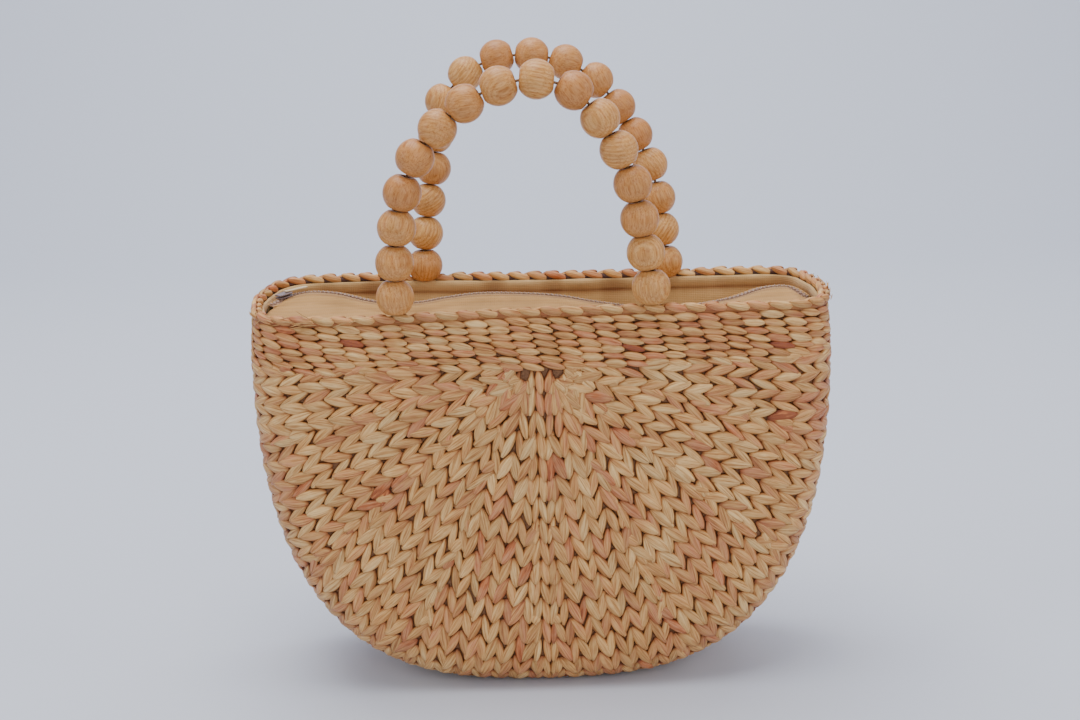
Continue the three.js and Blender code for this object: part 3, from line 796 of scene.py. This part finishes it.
def build_rim(material):
    """The plaited edge: plump folds of straw that cross it by turns outside and inside, on a core."""
    line, out, up, at, length = rim_line()
    plait = Weave(31)
    random = plait.random
    count = round(length / RIM_PITCH)
    sides, stations = 9, 13
    ring = 2 * np.pi * np.arange(sides) / sides

    def along_rim(place, values):
        return interpolate(place % length, at, values, length)

    def add_tube(place, outwards, upwards, radius, hue, shade_from):
        """A closed tube along the rim with its offsets from the middle and its radius at each place, and its
        painted shade.
        """
        middle = along_rim(place, line)
        sideways, upright = along_rim(place, out), along_rim(place, up)
        middle = middle + sideways * outwards[:, None] + upright * upwards[:, None]
        round_y, round_z = np.cos(ring), np.sin(ring)
        body = middle[:, None] + sideways[:, None] * (radius[:, None] * round_y * 0.82)[..., None]
        body = body + upright[:, None] * (radius[:, None] * round_z)[..., None]
        # Painted shade: darker on the side that faces the rim's middle and at the thin ends, starting from
        # shade_from.
        facing = round_y * np.sign(outwards.mean() or 1.0)
        ends = (1 - np.minimum(1, radius / radius.max())) ** 1.2
        shade = np.clip(shade_from - 0.3 * facing[None] + 0.7 * ends[:, None], 0, 1)
        plait.fold(body, place - place[0], ring * 1.6, hue, shade, 500)

    core = np.ones(CORE_SAMPLES)
    # The core gets a deep painted shade so that it shows dark between the folds.
    add_tube(np.linspace(0, length, CORE_SAMPLES), 0 * core, -CORE_SINK * core, CORE_RADIUS * core, 0.5, 0.8)
    for k in range(2 * count):
        side = 1 if k % 2 else -1
        t = np.linspace(-1, 1, stations)
        half = RIM_SEGMENT / 2 * (0.92 + 0.16 * random.random())
        place = (k / 2 + 0.12 * (random.random() - 0.5)) * length / count + t * half
        plump = (FOLD_RADIUS + 0.3 * random.random()) * np.sqrt(np.clip(1 - np.abs(t) ** 2.3, 0.02, 1))
        outwards = side * FOLD_OUT * np.cos(t * 1.3)
        to_front = np.clip(0.5 - np.interp(place % length, at, line[:, 1], period=length) / BAG_DEPTH, 0, 1)
        upwards = -side * (FOLD_UP + 0.3 * random.random()) * t * (1 - 0.3 * to_front) + 0.25
        hue = 0.1 + 0.3 * random.random() if (k // 2) % 2 else 0.36 + 0.32 * random.random()
        add_tube(place, outwards, upwards, plump, hue, 0.15)
    for middle, spread, number in RIM_LOOSE:
        for _ in range(number):
            start = middle + spread * random.normal()
            t = np.linspace(0, 1, 7)
            place = start + (5 + 6 * random.random()) * t
            outwards = 2.4 + 1.2 * random.random() + 0.9 * random.normal() * t
            upwards = random.normal() * 1.2 + 2.2 * random.normal() * (t - 0.5)
            thin = LOOSE_RADIUS * np.sin(math.pi * (0.12 + 0.8 * t))
            add_tube(place, outwards, upwards, thin, 0.3 * random.random(), 0.1)
    finish_piece(plait.build("rim_plait", material), "rim_straw", "rim_braid")


# The lining, the cloth panels and the zip

def cloth_mesh(name, sheet, folds, material, closed=False):
    """A thin closed cloth from a grid of middle points, thickened along its normals, and the painted shade of
    its folds.
    """
    rows, columns = sheet.shape[:2]
    along = np.roll(sheet, -1, 0) - np.roll(sheet, 1, 0) if closed else np.gradient(sheet, axis=0)
    normals = unit(np.cross(along, np.gradient(sheet, axis=1)))
    upper, lower = sheet + normals * CLOTH / 2, sheet - normals * CLOTH / 2
    start = rows * columns
    number = np.arange(start).reshape(rows, columns)
    if closed:
        number = np.concatenate([number, number[:1]])
        rims = [number[::-1, 0], number[:, -1]]
    else:
        rims = [np.concatenate([number[0], number[1:, -1], number[-1, -2::-1], number[-2::-1, 0]])]
    face = np.stack([number[:-1, :-1], number[:-1, 1:], number[1:, 1:], number[1:, :-1]], -1).reshape(-1, 4)
    edges = [np.stack([rim[:-1], rim[:-1] + start, rim[1:] + start, rim[1:]], -1) for rim in rims]
    faces = np.concatenate([face, (face + start)[:, ::-1], *edges])
    points = np.concatenate([upper.reshape(-1, 3), lower.reshape(-1, 3)])
    return add_mesh(name, points, faces, material, [("fold", np.tile(folds.ravel(), 2))])


def build_lining(material):
    """The cotton band inside the mouth, with a puckered hem under the plaited edge."""
    count, columns = LINING_GRID
    near = WALL + CLOTH_GAP + CLOTH / 2
    line, at, length = resample(mouth_loop(near), count, closed=True)
    ahead = unit(np.roll(line, -1, 0) - np.roll(line, 1, 0))
    inward = -level_side(ahead)
    random = np.random.default_rng(41)
    pucker = np.interp(at, np.linspace(0, length, PUCKERS), random.normal(0, 1, PUCKERS))
    pull = np.sin(2 * math.pi * at / length * round(length / PUCKER_PITCH)) * 0.5 + 0.4 * pucker
    sheet, folds = np.zeros((count, columns, 3)), np.zeros((count, columns))
    for k in range(columns):
        share = k / (columns - 1)
        down = LINING_BELOW_EDGE - 2.8 + (LINING_DEPTH + 2.4) * share ** 1.15
        hem = math.exp(-((share - 0.13) / 0.07) ** 2)
        crease = math.exp(-((share - 0.27) / 0.06) ** 2)
        puckers = pull * (1.2 * hem + 0.5 * crease + 0.3 * (1 - share))
        inwardly = 0.9 * hem - 0.2 * crease + 0.35 * math.sin(3 * share) + puckers
        sheet[:, k] = line + inward * np.maximum(inwardly, -0.15)[:, None]
        sheet[:, k, 2] = line[:, 2] - down + 0.7 * pull * hem
        # Painted shade: darker along the crease and the hem, in the puckers' hollows and a little deeper
        # down.
        folds[:, k] = 0.8 * crease + 0.3 * hem + 0.6 * np.clip(-pull, 0, 1) * (1 - share) + 0.1 * share
    piece = cloth_mesh("lining_cloth", sheet, folds, material, closed=True)
    finish_piece(piece, "cotton", "lining_band")


def centripetal(points, samples=24):
    """A centripetal Catmull-Rom line through points, as many samples to each stretch."""
    whole = np.concatenate([[2 * points[0] - points[1]], points, [2 * points[-1] - points[-2]]])
    line = []
    for i in range(1, len(whole) - 2):
        a, b, c, d = whole[i - 1:i + 3]
        gaps = [np.linalg.norm(q - p) ** 0.5 for p, q in ((a, b), (b, c), (c, d))]
        leave = ((b - a) / gaps[0] - (c - a) / (gaps[0] + gaps[1]) + (c - b) / gaps[1]) * gaps[1]
        arrive = ((c - b) / gaps[1] - (d - b) / (gaps[1] + gaps[2]) + (d - c) / gaps[2]) * gaps[1]
        t = np.linspace(0, 1, samples, endpoint=False)[:, None]
        square, cube = 3 * (c - b) - 2 * leave - arrive, 2 * (b - c) + leave + arrive
        line.append(b + leave * t + square * t ** 2 + cube * t ** 3)
    return np.concatenate(line + [points[-1:]])


PANEL_INSET = WALL + CLOTH_GAP + CLOTH + CLOTH_GAP
PANEL_END = float(mouth_loop(PANEL_INSET)[:, 0].max())
ZIP_SIDE = ZIP_WIDTH / 2 + CLOTH_GAP


def zip_line():
    rows = np.array(ZIP_LINE)
    x = rows[:, 0] * (PANEL_END - ZIP_END_INSET - CLOTH_GAP)
    y = rows[:, 1] * (HALF_DEPTH - PANEL_INSET)
    return centripetal(np.stack([x, y, WALL_TOP + mouth_wave(x, y) - rows[:, 2] * ZIP_DIP], 1))


ZIP, _, ZIP_LENGTH = resample(zip_line(), 1200)
ZIP_AHEAD = unit(np.gradient(ZIP, axis=0))
ZIP_FRONT = level_side(ZIP_AHEAD)


def on_zip(share, values):
    """A place or direction of the zip at a share of its length."""
    return interpolate(share, np.linspace(0, 1, len(ZIP)), values)


def build_panel(name, sign, middle_drop, material, node_name):
    """A cloth panel from its seam on the lining to the zip, with shallow folds."""
    half = section_points(math.pi / 2, 1.0, PANEL_INSET, half_section(*PANEL_STEPS))[:-1]
    half = half[half[:, 0] < PANEL_END - 0.05]
    quarter = np.stack([half[:, 0], -sign * half[:, 1]], 1)
    right = np.concatenate([quarter, [[PANEL_END, sign * ZIP_SIDE]]])
    corners = np.concatenate([right[1:][::-1] * (-1, 1), right])
    count, columns = PANEL_GRID
    seam, at, length = resample(np.column_stack([corners, np.zeros(len(corners))]), count)
    share = at / length
    from_end = np.clip(np.minimum(share, 1 - share) / SEAM_FALL, 0, 1)
    drop = FRONT_SEAM_DROP + (middle_drop - FRONT_SEAM_DROP) * from_end ** 2 * (3 - 2 * from_end)
    outer = seam.copy()
    outer[:, 2] = WALL_TOP + mouth_wave(seam[:, 0], seam[:, 1]) - drop
    joined = share - SEAM_EASE * np.sin(2 * math.pi * share)
    inner = on_zip(joined, ZIP) - sign * ZIP_SIDE * on_zip(joined, ZIP_FRONT)
    span = np.hypot(*(inner - outer)[:, :2].T) / HALF_DEPTH
    sheet, folds = np.zeros((count, columns, 3)), np.zeros((count, columns))
    for k in range(columns):
        across = k / (columns - 1)
        sheet[:, k] = outer + (inner - outer) * across
        dip = 4 * across * (1 - across)
        ripple = np.sin(at / 7.5 + 2 * across) * 0.25 + np.sin(at / 19 + 1.3 * sign) * 0.4
        fade = np.clip(from_end * 1.2, 0, 1)
        folded_edge = 0.55 * math.exp(-((across - 0.9) / 0.06) ** 2)
        sheet[:, k, 2] += -PANEL_SAG * dip * span + (ripple * dip + folded_edge) * fade
        # Painted shade: two dark lines along the cloth near the zip, and darker ripple hollows.
        seam_shade = math.exp(-((across - 0.97) / 0.02) ** 2) + 0.7 * math.exp(-((across - 0.83) / 0.02) ** 2)
        folds[:, k] = 0.5 * seam_shade - 0.25 * ripple * dip
    piece = cloth_mesh(name, sheet, folds, material)
    finish_piece(piece, "cotton", node_name)


def build_zip(tape_material, teeth_material):
    """A thin tape under two rows of teeth that lock into each other."""
    count = 300
    share = np.linspace(0, 1, count)
    middle, front = on_zip(share, ZIP), on_zip(share, ZIP_FRONT)
    ring = []
    for across, level in ((-1, -0.9), (-1, -0.3), (-0.3, 0.0), (0.3, 0.0), (1, -0.3), (1, -0.9)):
        ring.append(middle + front * across * ZIP_WIDTH / 2 + np.array([0, 0, level]))
    grid = np.array(ring).transpose(1, 0, 2)
    tape = add_mesh("zip_tape", grid.reshape(-1, 3), tube_faces(count, len(ring)), tape_material)
    finish_piece(tape, "zip_plastic", "zip_teeth")
    number = int(ZIP_LENGTH / TOOTH_PITCH)
    points, faces = [], []
    profile = [(-0.42, 0.0), (-0.42, 0.75), (-0.2, 1.05), (0.2, 1.05), (0.42, 0.75), (0.42, 0.0)]
    for i in range(number):
        share = (i + 0.5) / number
        at, ahead, beside = on_zip(share, ZIP), on_zip(share, ZIP_AHEAD), on_zip(share, ZIP_FRONT)
        side = 1 if i % 2 else -1
        first = len(points)
        for reach in (-0.5 * side, 0.4 * side, 1.7 * side):
            long = ahead * TOOTH_PITCH * (1.0 if abs(reach) < 1 else 0.75)
            points += [at + long * a + beside * reach + np.array([0, 0, b - 0.1]) for a, b in profile]
        tooth = tube_faces(3, len(profile), first)
        faces += tooth if side > 0 else [face[::-1] for face in tooth]
    teeth = add_mesh("zip_teeth_rows", np.array(points), faces, teeth_material, smooth=False)
    finish_piece(teeth, "zip_plastic", "zip_teeth")


def slab(outline, low, high):
    """The points and faces of a flat plate with an outline, between two heights."""
    points = [(x, y, z) for z in (low, high) for x, y in outline]
    return points, tube_faces(2, len(outline))


def build_slider(body_material, pull_material):
    """The slider's two plates and post, and its pull lying back along the zip."""
    share = (SLIDER_FROM_END + SLIDER_LENGTH / 2) / ZIP_LENGTH
    at, ahead, front = on_zip(share, ZIP), on_zip(share, ZIP_AHEAD), on_zip(share, ZIP_FRONT)
    up = -np.cross(ahead, front)
    half, narrow, wide = SLIDER_LENGTH / 2, SLIDER_WIDTH / 2 * 0.7, SLIDER_WIDTH / 2
    plate = [(-half, -narrow), (half - 1.5, -wide), (half, -wide + 1.2)]
    plate += [(x, -y) for x, y in plate[::-1]]
    post = [(-half + 1, -0.9), (half - 1, -0.9), (half - 1, 0.9), (-half + 1, 0.9)]
    end = half + PULL_LENGTH
    pull = [(1.0, -1.1), (end - 1.5, -1.5), (end, -0.8), (end, 0.8), (end - 1.5, 1.5), (1.0, 1.1)]
    shapes = [
        ("slider_body", body_material, [(plate, 0.0, 0.9), (post, 0.8, 1.7), (plate, 1.6, 2.4)]),
        ("slider_pull", pull_material, [(pull, 2.5, 3.3)]),
    ]
    for name, material, slabs in shapes:
        points, faces = [], []
        for outline, low, high in slabs:
            more, sides = slab(outline, low, high)
            faces += [[k + len(points) for k in side] for side in sides]
            points += more
        placed = [at + ahead * x - front * y + up * (z + 1.0 - 0.15 * max(x, 0)) for x, y, z in points]
        piece = add_mesh(name, np.array(placed), faces, material, smooth=False)
        bevel = piece.modifiers.new("round", "BEVEL")
        bevel.width = 0.0003
        bevel.segments = 2
        finish_piece(piece, "zip_plastic", "zip_slider")


# The handles

BEAD_RADIUS = 10.0
BEAD_HALF_LENGTH = 8.7
BEAD_LONGEST_HALF = 9.6
BEAD_HAIR = 0.05
BEAD_HOLE = 2.2
BEAD_AROUND = 40
BEAD_ROWS = 24
BEAD_CUT_STEP = 0.05


def bead_half(centre, axis, neighbours):
    """A bead's half length along its hole: as near a ball's as its neighbours on the string allow."""
    for half in np.arange(BEAD_LONGEST_HALF, BEAD_HALF_LENGTH, -BEAD_CUT_STEP):
        flat = math.sqrt(BEAD_RADIUS ** 2 - half ** 2)
        reaches = []
        for neighbour in neighbours:
            apart = np.linalg.norm(neighbour - centre)
            along = min(1.0, abs((neighbour - centre) @ axis) / apart)
            reaches.append(half * along + flat * math.sqrt(1 - along ** 2) - apart / 2)
        if max(reaches) < -BEAD_HAIR:
            return float(half)
    return BEAD_HALF_LENGTH


def bead_profile(half_length):
    """Out radius and place along the hole, from inside one mouth of the hole round to inside the other."""
    last = math.asin(half_length / BEAD_RADIUS)
    flat = BEAD_RADIUS * math.cos(last)
    mouth = [(BEAD_HOLE, 3.5), (BEAD_HOLE, 0.6), (BEAD_HOLE + 0.4, 0.08)]
    mouth += [(flat - 0.8, 0.0), (flat - 0.1, 0.14)]
    start = [(out, -half_length + deep) for out, deep in mouth]
    turns = np.linspace(-last, last, BEAD_ROWS)[1:-1]
    ball = [(BEAD_RADIUS * math.cos(a), BEAD_RADIUS * math.sin(a)) for a in turns]
    return np.array(start + ball + [(out, -along) for out, along in start[::-1]])


def build_beads(stem, count, material):
    """The beads of one handle, each turned along its string and cut from its own piece of wood."""
    names = [f"{stem}_{i:02d}" for i in range(1, count + 1)]
    boxes = [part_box(name) for name in names]
    centres = np.array([(np.array(low) + np.array(high)) / 2 / MM for low, high in boxes])
    random = np.random.default_rng(50 + count)
    steps = len(bead_profile(BEAD_HALF_LENGTH))
    for i, name in enumerate(names):
        foot = i in (0, count - 1)
        axis = np.array([0.0, 0.0, 1.0]) if foot else unit(centres[i + 1] - centres[i - 1])
        half = BEAD_HALF_LENGTH if foot else bead_half(centres[i], axis, centres[[i - 1, i + 1]])
        profile = bead_profile(half)
        first = unit(np.cross(axis, (0.3, 1.0, 0.2)))
        second = np.cross(axis, first)
        spin, lean = random.random() * 2 * math.pi, 0.1 if foot else random.normal(0, 0.55)
        shift = random.random(3) * 300
        warmth, plump = random.random(), 1 + random.normal(0, 0.012)
        around = np.linspace(0, 2 * math.pi, BEAD_AROUND, endpoint=False)[:, None]
        out, along = profile[:, 0][None], profile[:, 1][None]
        radial = np.cos(around)[..., None] * first + np.sin(around)[..., None] * second
        points = centres[i] + radial * (out * plump)[..., None] + along[..., None] * axis
        a, b = out * np.cos(around + spin), out * np.sin(around + spin)
        c = np.broadcast_to(along, a.shape)
        tipped, length = a * math.cos(lean) - c * math.sin(lean), a * math.sin(lean) + c * math.cos(lean)
        grain = np.stack([tipped, length, b], -1) + shift
        # Painted shade: the points inside the hole are marked to be drawn dark.
        inside = np.broadcast_to((out <= BEAD_HOLE + 0.01).astype(float), a.shape)
        number = np.arange(BEAD_AROUND * steps).reshape(BEAD_AROUND, steps)
        turned, after = np.roll(number, -1, 0), np.roll(number, -1, 1)
        faces = np.stack([number, turned, np.roll(turned, -1, 1), after], -1).reshape(-1, 4)
        attributes = [("grain", grain.reshape(-1, 3)), ("warmth", np.full(number.size, warmth))]
        attributes.append(("inside", inside.ravel()))
        piece = add_mesh("wood_" + name, points.reshape(-1, 3), faces, material, attributes)
        finish_piece(piece, "bead_wood", name)


# The stage, the lights and the camera

def build_stage():
    material, tree, shader = new_material("stage_paper")
    fill(tree, shader, {"Base Color": srgb(204, 209, 222), "Roughness": 0.85})
    width, front, back, bend, top = 6.0, -2.5, 1.3, 1.2, 4.5
    profile = [(front, 0.0), (back, 0.0)]
    for k in range(1, 17):
        a = math.pi / 2 * k / 16
        profile.append((back + bend * math.sin(a), bend - bend * math.cos(a)))
    profile.append((back + bend, top))
    points = [(x, y, z) for y, z in profile for x in (-width, width)]
    faces = [[2 * i, 2 * i + 1, 2 * i + 3, 2 * i + 2] for i in range(len(profile) - 1)]
    stage = add_mesh("stage_sweep", np.array(points) / MM, faces, material)


def add_light(name, place, target, size, power, colour):
    light = bpy.data.lights.new(name, "AREA")
    light.shape = "RECTANGLE"
    light.size, light.size_y = size
    light.energy = power
    light.color = colour
    holder = bpy.data.objects.new(name, light)
    holder.location = place
    holder.rotation_euler = (Vector(target) - Vector(place)).to_track_quat("-Z", "Y").to_euler()
    bpy.context.scene.collection.objects.link(holder)


def build_lights():
    world = bpy.data.worlds.new("room")
    world.use_nodes = True
    background = world.node_tree.nodes["Background"]
    background.inputs[0].default_value = srgb(214, 221, 236)
    background.inputs[1].default_value = 0.42
    bpy.context.scene.world = world
    add_light("overhead", (-0.2, -0.1, 1.7), (0, 0, 0.15), (1.4, 1.0), 24, (1.0, 0.985, 0.96))
    add_light("backdrop_wash", (0.0, 0.9, 2.4), (0, 2.6, 0.6), (3.0, 0.8), 60, (0.97, 0.98, 1.0))
    add_light("front_fill", (0.5, -1.9, 1.0), (0, 0, 0.15), (1.6, 1.2), 16, (1.0, 0.975, 0.94))
    add_light("left_side", (-1.6, -0.5, 0.9), (0, 0, 0.15), (0.9, 1.2), 8, (0.95, 0.98, 1.0))
    add_light("right_side", (1.6, -0.3, 0.9), (0, 0, 0.2), (0.9, 1.2), 8, (1.0, 0.98, 0.96))


def build_camera():
    """The photograph's viewpoint: a 50 mm lens on a 36 mm wide frame."""
    place = Vector((-7.8, -806.0, 372.0)) * MM
    pitch, yaw, roll = math.radians(13.72), math.radians(0.5), math.radians(-1.4)
    ahead = Vector((math.sin(yaw) * math.cos(pitch), math.cos(yaw) * math.cos(pitch), -math.sin(pitch)))
    level = Vector((math.cos(yaw), -math.sin(yaw), 0))
    upright = level.cross(ahead)
    right = level * math.cos(roll) + upright * math.sin(roll)
    up = -level * math.sin(roll) + upright * math.cos(roll)
    data = bpy.data.cameras.new("camera")
    data.lens, data.sensor_width = 50.0, 36.0
    camera = bpy.data.objects.new("camera", data)
    rotation = Matrix((right, up, -ahead)).transposed()
    camera.matrix_world = Matrix.Translation(place) @ rotation.to_4x4()
    bpy.context.scene.collection.objects.link(camera)
    bpy.context.scene.camera = camera


build_camera()
build_lights()
build_stage()

straw = straw_material("straw")
lining = cotton_material("lining_cotton", srgb(186, 150, 98), srgb(204, 168, 116))
cotton = cotton_material("panel_cotton", srgb(170, 128, 74), srgb(188, 143, 86))
wood = bead_material()
tape = plain_material("zip_tape", srgb(150, 116, 94), srgb(172, 138, 114), 0.8)
teeth = plain_material("zip_teeth", srgb(146, 118, 104), srgb(170, 142, 126), 0.6)
slider_paint = plain_material("zip_slider", srgb(96, 80, 82), srgb(128, 110, 110), 0.4)
pull_paint = plain_material("zip_pull", srgb(192, 168, 134), srgb(208, 186, 152), 0.5)

build_backing(plain_material("straw_shadow", srgb(104, 68, 44), srgb(140, 98, 66), 0.9, 900.0))
build_weave(straw)
build_rim(straw)
build_lining(lining)
build_panel("panel_cloth_front", -1, FRONT_SEAM_DROP, cotton, "zip_panel_front")
build_panel("panel_cloth_back", 1, BACK_SEAM_DROP, cotton, "zip_panel_back")
build_zip(tape, teeth)
build_slider(slider_paint, pull_paint)
build_beads("bead_front", 16, wood)
build_beads("bead_back", 17, wood)

# The thread's brown is partly its own colour and partly painted shade, drawn dark for the gaps between beads.
twine = plain_material("handle_thread", srgb(122, 84, 52), srgb(148, 106, 70), 0.8)
for name in ("thread_front", "thread_back"):
    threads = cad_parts[name]
    threads.data.materials.clear()
    threads.data.materials.append(twine)
